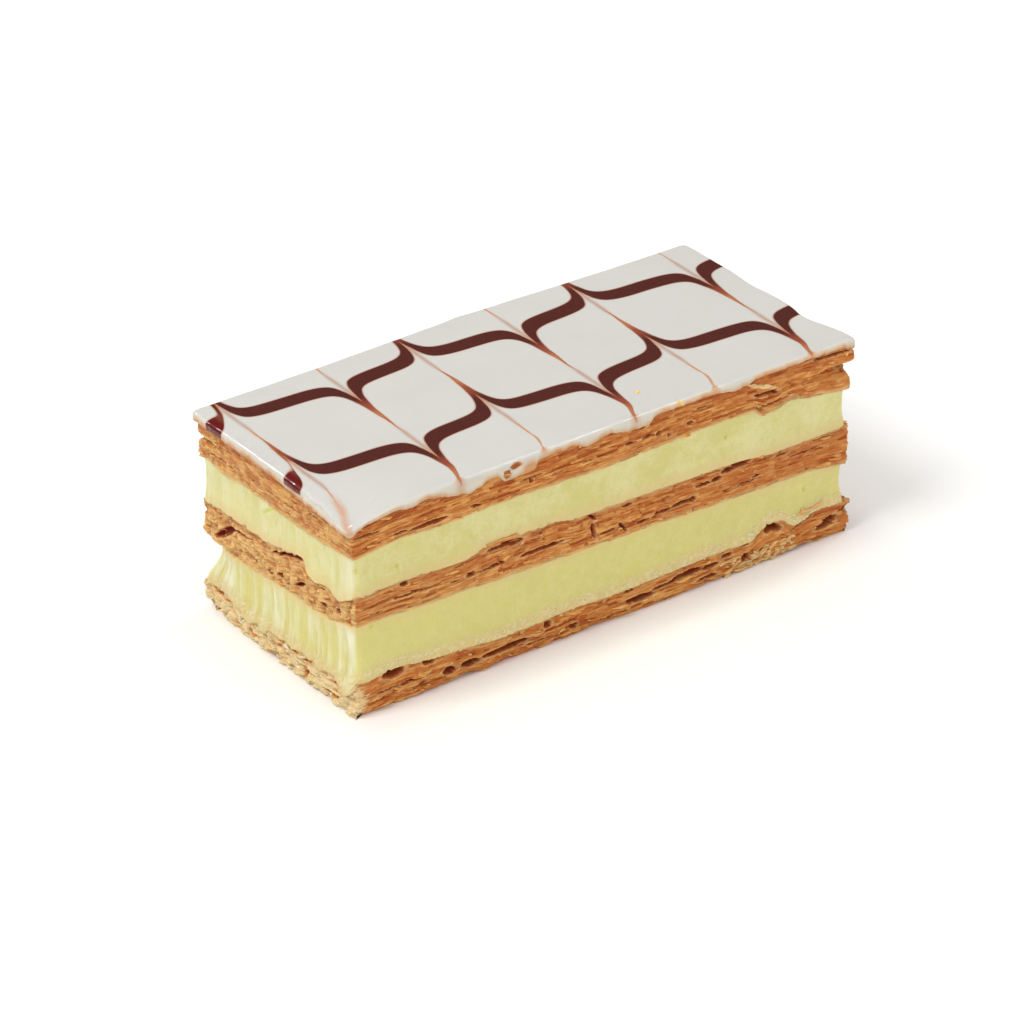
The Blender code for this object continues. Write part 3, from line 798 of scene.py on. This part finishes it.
# crumbs by the dozen: host, wall, how many, range along the wall, height range, size range, stretch, how far
# each sinks in by its own size, and finish
crumbZones = dict(
    footGrains=("creamLower", "front", 520, (-53, 52), (-0.3, 1.9), (0.25, 0.6), 1.4, 0.2, "whitish"),
    endGrains=("crustBottom", "left", 110, (-24, 24), (0.4, 5.0), (0.5, 1.3), 1.4, 0.2, "grain"),
    endTatters=("crustMiddle", "left", 110, (-24, 24), (16.2, 24.0), (0.4, 1.0), 2.2, -0.05, "tatter"),
    lidTatters=("crustTop", "left", 70, (-24, 24), (32.2, 37.5), (0.3, 0.7), 3.0, -0.05, "tatter"),
    paleTatters=("crustBottom", "front", 110, (25.5, 42.5), (0.3, 3.6), (0.5, 1.0), 2.6, -0.05, "pale"),
    middleTatters=("crustMiddle", "front", 50, (-52, 52), (17, 24), (0.25, 0.55), 3.0, -0.05, "tatter"),
    lowTatters=("crustBottom", "front", 60, (-52, 25), (0.8, 6.0), (0.3, 0.6), 3.0, -0.05, "tatter"),
)
clustered = dict(footGrains="baseTop")  # these gather in clusters, and their heights count from this seam
wallAxis = dict(front=Vector((0, 1, 0)), left=Vector((1, 0, 0)), top=Vector((0, 0, -1)))
wallLimit = dict(front=-24.2, left=-53.8)  # a crumb further in than this would lie inside a hollow


# the point of a host's wall that faces a place on that wall
def wallPoint(tree, wall, place, z):
    starts = dict(front=(place, -40, z), left=(-70, place, z))
    start = Vector(starts[wall]) * mm
    return tree.ray_cast(start, wallAxis[wall])[0]


noise.seed_set(1)  # otherwise every run would roughen the lumps in a new way


# a ball pressed flat, roughened and turned
def addLump(shape, middle, size, turn, seed, detail):
    made = bmesh.ops.create_icosphere(shape, subdivisions=detail, radius=0.5)["verts"]
    for vertex in made:
        spot = Vector([part * side for part, side in zip(vertex.co, size)])
        rough = noise.noise_vector(spot * 0.9 + seed) * 0.35 + noise.noise_vector(spot * 2.6 + seed) * 0.16
        spot += Vector([part * min(1.0, side) for part, side in zip(rough, size)])
        spot.rotate(turn)
        vertex.co = middle + spot * mm


def endLumps(name, shape, material):
    for face in shape.faces:
        face.smooth = True
    bmesh.ops.recalc_face_normals(shape, faces=shape.faces[:])
    mesh = bpy.data.meshes.new(name)
    shape.to_mesh(mesh)
    shape.free()
    mesh.materials.append(material)
    piece = bpy.data.objects.new(name, mesh)
    bpy.context.scene.collection.objects.link(piece)
    return piece


def makeBit(name, spec, trees, material):
    wall, place, z, long, tall, thick, slope, _ = spec
    shape = bmesh.new()
    seed = Vector((z, long, tall))
    if wall == "top":
        addLump(shape, Vector((*place, z)) * mm, (long, tall, thick), Euler((0, 0, 0)), seed, 4)
    else:
        spots = [wallPoint(tree, wall, place, z) for tree in trees]
        spot = min((s for s in spots if s), key=lambda s: s.dot(wallAxis[wall]))
        spot.z = z * mm
        lean = Euler((0, -math.atan(slope), 0 if wall == "front" else -math.pi / 2))
        addLump(shape, spot, (long, thick, tall), lean, seed, 4)
    return endLumps(name, shape, material)


def makeCrumbs(name, spec, trees, material):
    host, wall, count, (start, end), (low, high), (least, most), stretch, sink, _ = spec
    chance = random.Random(name)
    seam = clustered.get(name)
    shape = bmesh.new()
    for _ in range(count):
        place, z = chance.uniform(start, end), low + (high - low) * chance.random() ** 1.3
        if seam:
            z += through(place * mm, seams[seam][wall]) / mm
        size = chance.uniform(least, most)
        long = size * chance.uniform(1, stretch)
        turn = Euler((chance.uniform(-0.5, 0.5), chance.uniform(-0.6, 0.6), chance.uniform(-0.4, 0.4)))
        if wall == "left":
            turn.z += math.pi / 2
        spot = wallPoint(trees[host], wall, place, z)
        bare = seam and noise.noise(Vector((place * 0.35, 0, z * 0.3))) < -0.12
        if spot and not bare and spot.dot(wallAxis[wall]) < wallLimit[wall] * mm:
            spot += wallAxis[wall] * sink * size * mm
            addLump(shape, spot, (long, size * 0.8, size * 0.6), turn, Vector((place, z, size)), 2)
    return endLumps(name, shape, material)


class Finish(Tree):
    def __init__(self, name, constants):
        self.material = bpy.data.materials.new(name)
        self.material.use_nodes = True
        super().__init__(self.material.node_tree)
        self.shader = self.group.nodes.new("ShaderNodeBsdfPrincipled")
        end = self.group.nodes.new("ShaderNodeOutputMaterial")
        self.group.links.new(self.shader.outputs["BSDF"], end.inputs["Surface"])
        for label, value in constants.items():
            self.shader.inputs[label].default_value = value
        self.spot = self.add("ShaderNodeTexCoord").out("Object")
        self.x, self.y, self.z = self.parts(self.spot)
        self.colour = None

    def mark(self, name):
        return self.add("ShaderNodeAttribute", {"attribute_name": name}).out("Fac")

    # noise all over the piece, one wave to each grain in mm
    def mottle(self, grain, detail=1.0, roughness=0.5):
        return self.noise(self.spot, grain * mm, detail, roughness)

    # lays another colour over what is there
    def cover(self, factor, colour):
        self.colour = self.mixed(factor, self.colour, colour)

    def feed(self, label, value):
        self.group.links.new(value.socket, self.shader.inputs[label])

    def bump(self, height, distance, strength):
        sockets = {"Height": height, "Distance": distance * mm, "Strength": strength}
        self.feed("Normal", self.add("ShaderNodeBump", {}, sockets))


pastryShader = {
    "Specular IOR Level": 0.22, "Subsurface Weight": 0.4, "Subsurface Scale": 0.0011,
    "Subsurface Radius": (1.0, 0.55, 0.25),
}
# the tip colour serves pale tips and painted highlight, sunken and slit are painted shade, and crevice is the
# browner inside of crevices darkened as painted shade
pastryColours = dict(
    golden=(0.60, 0.20, 0.038), light=(0.82, 0.43, 0.125), tip=(0.88, 0.60, 0.27),
    baked=(0.47, 0.105, 0.018), sunkenShade=(0.44, 0.078, 0.014), creviceBrownAndShade=(0.23, 0.014, 0.006),
    cut=(0.80, 0.53, 0.21), soaked=(0.80, 0.55, 0.23), torn=(0.89, 0.67, 0.34),
    grain=(0.93, 0.82, 0.57), slit=(0.66, 0.26, 0.06), toasted=(0.42, 0.075, 0.012),
)
# in mm: the middle crust's height and reach, where it pales and browns, and the torn end of the bottom one
pastryPlaces = dict(
    middle=(20.0, 6.0), paler=(-42.0, -10.0), browner=(0.0, 30.0), bottom=(5.0, 8.0), end=(-54.8, -53.2),
)


# crusts carry marks of what their walls do; loose flakes have none
def pastryFinish(name, marked):
    shade, places = pastryColours, pastryPlaces
    finish = Finish(name, pastryShader)
    x, z = finish.x / mm, finish.z / mm
    layered = finish.point(finish.x, finish.y, finish.z * 6.0)
    grain = finish.noise(layered, 2.6 * mm, 3.0, 0.55)
    leafy = finish.noise(layered, 1.3 * mm, 3.0, 0.58)
    patch = finish.mottle(6, 3.0)
    fine = finish.mottle(0.45, 2.0)
    tone = finish.mark("tone") if marked else finish.mottle(1.5) + 0.75
    reliefShading = finish.mark("reliefShading") if marked else 0.5
    # lightness is partly the pastry's own tone and partly painted light: lighter where the wall stands out
    lightness = tone + grain * 0.8 + patch * 0.6 + (reliefShading - 0.4) * 0.45
    finish.colour = finish.mixed(lightness.rise(0.32, 0.78), shade["golden"], shade["light"])
    finish.cover((patch * 1.2 + grain * 0.8).rise(0.03, 0.35) * 0.5, shade["baked"])
    finish.cover((lightness + leafy * 0.5).rise(0.75, 1.1) * 0.55, shade["tip"])
    bottom = 1 - z.rise(*places["bottom"])
    if marked:
        leftEnd = finish.mark("leftEnd")
        finish.cover((leftEnd * (0.45 + grain + leafy * 0.8)).within(), shade["cut"])
        finish.cover((leftEnd * (grain + leafy * 1.2)).rise(0.12, 0.45) * 0.75, shade["tip"])
        nearMiddle = z.bell(*places["middle"])
        finish.cover((1 - x.rise(*places["paler"])) * nearMiddle * 0.18, shade["cut"])
        finish.cover(x.rise(*places["browner"]) * nearMiddle * 0.26, shade["baked"])
        # painted shade where the wall sinks in
        sunkenShade = (1 - reliefShading.rise(-0.04, 0.3)) * 0.7
        finish.cover(sunkenShade * (1 - leftEnd.least(1) * 0.25), shade["sunkenShade"])
        # the torn look wraps a little round the corner
        torn = bottom * (1 - (x + patch * 6 + leafy * 9).rise(*places["end"]))
        finish.cover(torn * 0.9, shade["torn"])
        finish.cover(torn * (leafy + fine + grain * 0.5).rise(-0.05, 0.3) * 0.8, shade["grain"])
        # orange painted shade in the torn end's low spots
        finish.cover(torn * (1 - reliefShading.rise(-0.1, 0.2)) * 0.3, shade["slit"])
        soak = finish.mark("soak") * (0.7 + finish.mottle(2.0, 3.0, 0.6) * 2.2)
        finish.cover(soak.within() * 0.75, shade["soaked"])
        finish.cover((finish.mark("toast") * (0.7 + patch * 2)).least(1) * 0.75, shade["toasted"])
        # painted highlight round the rims of hollows
        finish.cover(finish.mark("rim") * (0.45 + fine), shade["tip"])
        # painted shade in hollows, grooves and cracks, over the pastry's browner colour inside them, orange on
        # the torn end
        deep = finish.mark("deep")
        finish.cover(deep.rise(0.05, 0.55) * 0.8, finish.mixed(torn, shade["sunkenShade"], shade["slit"]))
        finish.cover(deep.rise(0.45, 1.0), finish.mixed(torn, shade["creviceBrownAndShade"], shade["slit"]))
    else:
        finish.cover((1 - x.rise(-54.5, -53)) * bottom * 0.85, shade["torn"])
    finish.feed("Base Color", finish.colour)
    finish.feed("Roughness", 0.5 + grain * 0.3)
    finish.bump(leafy + fine * 0.4 + grain * 0.5, 0.18, 0.65)
    return finish.material


creamShader = {
    "Specular IOR Level": 0.4, "Subsurface Weight": 0.35, "Subsurface Scale": 0.002,
    "Subsurface Radius": (1.0, 0.8, 0.3),
}
# upperEnd and lowerEnd paint highlight on the ridges of the knife marks, and furrow paints shade in their
# furrows
creamColours = dict(
    dense=(0.685, 0.63, 0.225), airy=(0.765, 0.72, 0.34), lower=(0.69, 0.615, 0.165),
    pit=(0.64, 0.68, 0.05), upperEnd=(0.80, 0.78, 0.54), lowerEnd=(0.89, 0.89, 0.70),
    furrowShade=(0.73, 0.66, 0.22), band=(0.68, 0.565, 0.265), fleck=(0.66, 0.44, 0.18),
    whitish=(0.83, 0.76, 0.50), edge=(0.76, 0.56, 0.24),
)


def creamFinish():
    shade = creamColours
    finish = Finish("custardCream", creamShader)
    patch = finish.mottle(9, 3.0)
    speck = finish.mottle(0.6, 3.0, 0.6)
    cloud = finish.mottle(2.4, 3.0, 0.6)
    lower = 1 - (finish.z / mm).rise(17.0, 24.0)
    dense = (patch + cloud * 0.8 + speck * 0.4).rise(-0.25, 0.3)
    finish.colour = finish.mixed(dense, shade["dense"], shade["airy"])
    finish.cover((lower * (0.45 + patch * 1.6)).most(0), shade["lower"])
    finish.cover(finish.mark("pit").rise(0.1, 0.8) * 0.85, shade["pit"])
    end = finish.mark("leftEnd")
    # the left end is painted lighter on the ridges of its knife marks and at its rounded front corner, a
    # painted highlight, and darker in the furrows, a painted shade
    streak = finish.mark("streak") + (-finish.y / mm).rise(19.0, 24.0) * 0.15
    pale = finish.mixed(lower, shade["upperEnd"], shade["lowerEnd"])
    finish.cover(end * streak.rise(0.42, 0.75) * 0.85, pale)
    finish.cover(end * (1 - streak.rise(0.25, 0.5)) * 0.6, shade["furrowShade"])
    band = finish.mark("band")
    finish.cover(band * 0.5, shade["band"])
    finish.cover(band * finish.mottle(1.0, 3.0, 0.6).rise(0.0, 0.18) * 0.55, shade["fleck"])
    finish.cover((finish.mark("grain") * 1.2 + band * cloud).rise(0.3, 0.9) * 0.75, shade["whitish"])
    finish.cover((finish.mark("seamward") * (0.8 + cloud * 1.6)).within() * 0.8, shade["edge"])
    # cream past its seam takes the soaked crust's colour, and further in the crust's painted shade
    behind = finish.mark("behind")
    finish.cover(behind.rise(0.0, 0.2), pastryColours["soaked"])
    finish.cover(behind.rise(0.15, 0.4), pastryColours["sunkenShade"])
    finish.feed("Base Color", finish.colour)
    finish.feed("Roughness", 0.42 + speck * 0.25)
    finish.bump(speck + cloud, 0.12, 0.5)
    return finish.material


# Chocolate lines drawn along the slice, then combed across it by turns to the back and to the front. A comb
# drags the edge ahead of it further, and in a wider tongue, than the edge behind it. All in mm.
marbling = dict(
    stripes=[(16.7, -1.4), (-8.4, -0.5)], width=3.9,  # y at the middle and lean in degrees
    combs=[(-51.9, 1), (-29.9, -1), (-11.9, 1), (8.2, -1), (26.1, 1), (48.1, -1)], combLean=1.7,
    ahead=[(13.0, 0.8), (3.8, 2.4)], behind=[(7.0, 0.65), (2.9, 2.6)],  # how far, and how soon that dies away
    tail=(6.0, 9.0, 11.0, 18.0),  # how far past a stripe a comb still carries chocolate
    fading=(6.0, 14.5),  # how far past a stripe its trail turns orange
    rimBend=(19.5, 26.0),  # comb lines bend to the left from here to the front rim
    smear=-51.9,  # the comb line that is smeared at the left front corner
    drop=1.0, dropFrom=(52.5, 56.5), dropFoot=39.4,  # chocolate sags down over the left rim, to this height
    neck=(-53.2, 1.2), bead=(-56.0, 1.6),  # a thin neck, then a drop on the left rim
)
icingShader = {
    "Specular IOR Level": 0.07, "Coat Roughness": 0.08, "Subsurface Weight": 0.15, "Subsurface Scale": 0.0015,
    "Subsurface Radius": (1.0, 0.9, 0.8),
}
icingColours = dict(
    grey=(0.557, 0.547, 0.508), white=(0.607, 0.597, 0.563), wall=(0.69, 0.63, 0.52),
    wedge=(0.37, 0.28, 0.25), smear=(0.58, 0.33, 0.20), trail=(0.54, 0.235, 0.09), carried=(0.40, 0.14, 0.06),
    halo=(0.40, 0.13, 0.05), cocoa=(0.063, 0.0085, 0.0045), milky=(0.088, 0.015, 0.009),
    rust=(0.27, 0.057, 0.028), orange=(0.49, 0.165, 0.06), neck=(0.20, 0.045, 0.022),
    drop=(0.12, 0.005, 0.004), seep=(0.64, 0.40, 0.22), bare=(0.58, 0.24, 0.07), glaze=(0.62, 0.29, 0.09),
    hole=(0.86, 0.40, 0.13), pastry=(0.72, 0.26, 0.07),
)


def icingFinish():
    finish = Finish("fondantIcing", icingShader)
    spec, shade = marbling, icingColours
    x = finish.x * 1000 - 0.16 + finish.mottle(8) * 0.6 + finish.mottle(2) * 0.12
    y = finish.y * 1000 + finish.mottle(14) * 0.7
    y = y + (-x).rise(*spec["dropFrom"]) * spec["drop"]
    combX = x - y * math.tan(math.radians(spec["combLean"])) + (-y).rise(*spec["rimBend"]) * 1.6
    thickness = finish.mottle(3, 2.0) * 0.7 + 0.36 + (-y).rise(23.8, 25.2) * 1.3
    up, down = 0.0, 0.0
    start, full, fade, end = spec["tail"]
    for middle, _ in spec["stripes"]:
        past = y - middle
        up = past.rise(start, full) * (1 - past.rise(fade, end)) + up
        down = (-past).rise(start, full) * (1 - (-past).rise(fade, end)) + down
    upper, lower, upperSteep, lowerSteep, line, wedge, carried = [0.0] * 7
    for place, way in spec["combs"]:
        tail = up if way > 0 else down
        away = combX - place
        if place == spec["smear"]:
            away = away + (-y).rise(11.0, 26.0) * 1.7
            smear = (1 - abs(away).rise(0.3, 1.6)) * (-y).rise(13.5, 20.0)
        away = abs(away)
        drags = []
        for parts in (spec["ahead"], spec["behind"]):
            drag, steep = 0.0, 0.0
            for far, reach in parts:
                part = (away / -reach).math("EXPONENT") * far
                drag, steep = part + drag, part / reach + steep
            drags.append((drag, steep))
        ahead, behind = drags if way > 0 else drags[::-1]
        upper, upperSteep = ahead[0] * way + upper, ahead[1] + upperSteep
        lower, lowerSteep = behind[0] * way + lower, behind[1] + lowerSteep
        here = 1 - away.rise(0.04 + tail * 0.2, thickness + tail * 0.5)
        line = here + line
        carried = here * tail + carried
        wedge = (1 - away.rise(0.15, 0.9)) + wedge
    upperSteep, lowerSteep = [(steep * steep + 1).math("SQRT") for steep in (upperSteep, lowerSteep)]
    inside, halo, trail, far = [0.0] * 4
    pinch = x.bell(*spec["neck"]) * 0.7 - x.bell(*spec["bead"]) * 0.6
    for middle, lean in spec["stripes"]:
        home = y - (x * math.tan(math.radians(lean)) + middle)
        over = (home - upper - spec["width"] / 2) / upperSteep
        under = (lower - home - spec["width"] / 2) / lowerSteep
        edge = over.most(under) + pinch
        here = 1 - edge.rise(-0.14, 0.05)
        inside = here + inside
        halo = (1 - edge.rise(-0.05, 0.34)) + halo
        trail = (1 - abs(home).rise(2.5, 8.0)) + trail
        far = here * abs(home) + far
    low = (finish.z / mm + y * 0.02).rise(spec["dropFoot"] - 0.8, spec["dropFoot"])
    inside = inside.least(1) * low
    halo = halo.least(1) * low

    # white, with faint lines where the comb went and brown where chocolate lies
    cloud = finish.mottle(11, 3.0)
    finish.colour = finish.mixed(cloud + 0.5, shade["grey"], shade["white"])
    # the side is painted lighter and warmer than the top: painted light
    finish.cover(finish.mark("wall"), shade["wall"])
    finish.cover((wedge * trail * 0.55).least(1), shade["wedge"])
    finish.cover((smear * (finish.mottle(2, 3.0, 0.6) * 1.5 + 0.65)).within(0.75), shade["smear"])
    fade = (finish.mottle(5) + 0.5).rise(0.1, 0.6)
    skirt = (-finish.y / mm).rise(24.6, 25.4)
    faint = 1 - skirt * 0.6
    line = line * (0.4 + 0.6 * fade) * (1 - trail.least(1) * 0.35) * (1 - smear * 0.8) * (1 - skirt * 0.55)
    brown = finish.mixed(carried, shade["trail"], shade["carried"])
    finish.cover(line.most(carried * 0.9 * faint).least(1), brown)
    finish.cover(halo * 0.75 * faint, shade["halo"])
    brown = finish.mixed(finish.mottle(0.7, 2.0) + 0.5, shade["cocoa"], shade["milky"])
    start, end = spec["fading"]
    half = (start + end) / 2
    brown = finish.mixed(far.rise(start, half), brown, shade["rust"])
    brown = finish.mixed(far.rise(half, end), brown, shade["orange"])
    blob = (-x).rise(53.5, 54.8)
    brown = finish.mixed(x.bell(*spec["neck"]) * 0.8, brown, shade["neck"])
    brown = finish.mixed(blob, brown, shade["drop"])
    finish.cover(inside * (1 - skirt * 0.5), brown)

    # the skirt is thin enough for the pastry to show through, most of all along its ragged edge
    seep = finish.mark("thin") + finish.mottle(4, 3.0, 0.6) * 0.8 + (-x).rise(54.5, 55.5) * 0.12
    finish.cover(seep.rise(0.45, 1.0) * (1 - inside) * 0.9, shade["seep"])
    finish.cover(seep.rise(0.8, 1.15) * (1 - inside), shade["bare"])
    glaze = x.bell(-17.2, 1.5) * (finish.z / mm).bell(37.9, 1.2) * skirt  # a clear patch beside the holes
    finish.cover(glaze.least(0.5) * 1.7, shade["glaze"])
    hole = finish.mark("hole")
    finish.cover(hole.rise(0.15, 0.4), shade["hole"])
    finish.cover(hole.rise(0.6, 1.0) * 0.7, shade["pastry"])
    finish.feed("Base Color", finish.colour)
    finish.feed("Roughness", 0.22 + cloud * 0.1)

    # wetter on the rims, and a narrow gleam on each drop
    drop = inside * blob
    wet = finish.mottle(1.8, 2.0).rise(-0.06, 0.16) * 0.7
    rims = (-x).rise(53.6, 54.8).most((-y).rise(22.8, 24.0) * 0.6) * (wet - 0.1) + 0.25
    gleam = (finish.x / mm).bell(-55.75, 0.3) * 0.9 + 0.08
    finish.feed("Coat Weight", rims * (1 - drop) + drop * gleam)
    lumps = finish.mottle(1.5) * 0.25 + finish.mottle(2.4, 2.0) * (-x).rise(52.5, 54.0)
    finish.bump(cloud + inside * 0.5 + lumps, 0.15, 0.5)
    return finish.material


bitShader = {
    "Specular IOR Level": 0.3, "Subsurface Weight": 0.25, "Subsurface Scale": 0.0006,
    "Subsurface Radius": (1.0, 0.6, 0.35),
}
bitColours = dict(  # the darker and the paler colour of single flakes and crumbs
    golden=((0.56, 0.18, 0.035), (0.78, 0.38, 0.11)),
    pale=((0.72, 0.40, 0.13), (0.86, 0.62, 0.30)), crumb=((0.78, 0.48, 0.10), (0.86, 0.62, 0.20)),
    grain=((0.82, 0.62, 0.32), (0.90, 0.80, 0.56)), whitish=((0.78, 0.65, 0.34), (0.85, 0.77, 0.50)),
    tatter=((0.66, 0.28, 0.06), (0.84, 0.58, 0.25)),
)


def bitFinish(name, dark, pale):
    finish = Finish(name, bitShader)
    grain = finish.noise(finish.point(finish.x, finish.y, finish.z * 5), 2 * mm, 3.0, 0.6)
    fine = finish.mottle(0.4, 2.0)
    finish.feed("Base Color", finish.mixed((grain * 1.6 + fine * 0.5).rise(-0.3, 0.3), dark, pale))
    finish.feed("Roughness", 0.5 + grain * 0.3)
    finish.bump(grain + fine * 0.5, 0.12, 0.6)
    return finish.material


pastry = pastryFinish("puffPastry", True)
flaky = pastryFinish("puffPastryFlakes", False)
custard = creamFinish()
fondant = icingFinish()


# hands a finished piece to the frame
def fit(piece, node=None):
    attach(piece, "root")
    if node:
        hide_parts(node)


walls = {}


# keeps a host's surface so that crumbs can be set against it
def remember(piece):
    points = [vertex.co for vertex in piece.data.vertices]
    walls[piece.name] = BVHTree.FromPolygons(points, [tuple(face.vertices) for face in piece.data.polygons])


for name, spec in crusts.items():
    crust = growCrust(name, spec, pastry)
    fit(growFlakes(crust, flakeSpec[name], flaky))
    fit(crust, spec["node"])
    remember(crust)
for name, spec in creams.items():
    cream = growCream(name, spec, custard)
    fit(cream, spec["node"])
    remember(cream)
fit(growIcing(icingSpec, fondant), icingSpec["node"])

bitFinishes = {name: bitFinish(name + "Bit", *colours) for name, colours in bitColours.items()}
for name, spec in looseBits.items():
    fit(makeBit(name, spec, walls.values(), bitFinishes[spec[-1]]))
for name, spec in crumbZones.items():
    fit(makeCrumbs(name, spec, walls, bitFinishes[spec[-1]]))
print(len(looseBits), "single flakes and", len(crumbZones), "patches of crumbs")

scene = bpy.context.scene


# a pale floor, soft light from the upper left and a bright room
def makeFloor():
    size = 3.0
    mesh = bpy.data.meshes.new("floor")
    corners = [(x * size, y * size, 0) for x, y in ((-1, -1), (1, -1), (1, 1), (-1, 1))]
    mesh.from_pydata(corners, [], [(0, 1, 2, 3)])
    floor = bpy.data.objects.new("floor", mesh)
    scene.collection.objects.link(floor)
    finish = Finish("paleFloor", {"Specular IOR Level": 0.2, "Roughness": 0.6})
    pale = finish.mixed(finish.mottle(40) + 0.5, (0.93, 0.93, 0.925), (0.95, 0.95, 0.945))
    finish.feed("Base Color", pale)
    mesh.materials.append(finish.material)


lights = dict(
    key=dict(at=(-0.68, 0.0, 0.98), size=0.55, power=7.3, colour=(1.0, 0.985, 0.96)),
    fill=dict(at=(0.1, -1.2, 0.55), size=0.9, power=4.0, colour=(1.0, 0.99, 0.98)),
    frontRim=dict(at=(0.49, 0.12, 0.85), size=0.12, power=0.9, colour=(1.0, 1.0, 1.0)),
    leftRim=dict(at=(-0.03, 0.71, 0.69), size=0.12, power=1.1, colour=(1.0, 1.0, 1.0)),
)


def aimAt(target, place):
    return (Vector(target) - Vector(place)).to_track_quat("-Z", "Y").to_euler()


def makeLights():
    for name, spec in lights.items():
        light = bpy.data.lights.new(name, "AREA")
        light.shape = "DISK"
        light.size, light.energy, light.color = spec["size"], spec["power"], spec["colour"]
        lamp = bpy.data.objects.new(name, light)
        lamp.location = spec["at"]
        lamp.rotation_euler = aimAt((0, 0, 0.02), spec["at"])
        scene.collection.objects.link(lamp)
    world = bpy.data.worlds.new("room")
    world.use_nodes = True
    sky = Tree(world.node_tree)
    _, _, upward = sky.parts(sky.add("ShaderNodeTexCoord").out("Generated"))
    shade = sky.mixed(upward.rise(0.3, 0.95), (0.16, 0.16, 0.16), (1.0, 1.0, 1.0))
    glow = sky.add("ShaderNodeBackground", {}, {"Color": shade, "Strength": 0.9})
    sky.add("ShaderNodeOutputWorld", {}, {"Surface": glow})
    scene.world = world
    scene.view_settings.view_transform = "Standard"


# degrees, m and mm of a long lens
view = dict(
    azimuth=-34.76, elevation=29.46, roll=-1.28, distance=0.858, lens=162.6, across=-0.0033, up=0.01034,
)


def makeCamera():
    azimuth, elevation, roll = (math.radians(view[k]) for k in ("azimuth", "elevation", "roll"))
    flat = math.cos(elevation)
    back = Vector((math.sin(azimuth) * flat, -math.cos(azimuth) * flat, math.sin(elevation)))
    right = Vector((math.cos(azimuth), math.sin(azimuth), 0))
    up = back.cross(right)
    aside = right * view["across"] + up * view["up"]
    place = back * view["distance"] + aside + Vector((slab["middle"], 0, 0))
    turnedRight = right * math.cos(roll) + up * math.sin(roll)
    turnedUp = up * math.cos(roll) - right * math.sin(roll)
    camera = bpy.data.cameras.new("camera")
    camera.lens, camera.sensor_width = view["lens"], 36
    camera.clip_start, camera.clip_end = 0.05, 20
    eye = bpy.data.objects.new("camera", camera)
    axes = Matrix((turnedRight, turnedUp, back)).transposed().to_4x4()
    eye.matrix_world = Matrix.Translation(place) @ axes
    scene.collection.objects.link(eye)
    scene.camera = eye


makeFloor()
makeLights()
makeCamera()
print("staged")
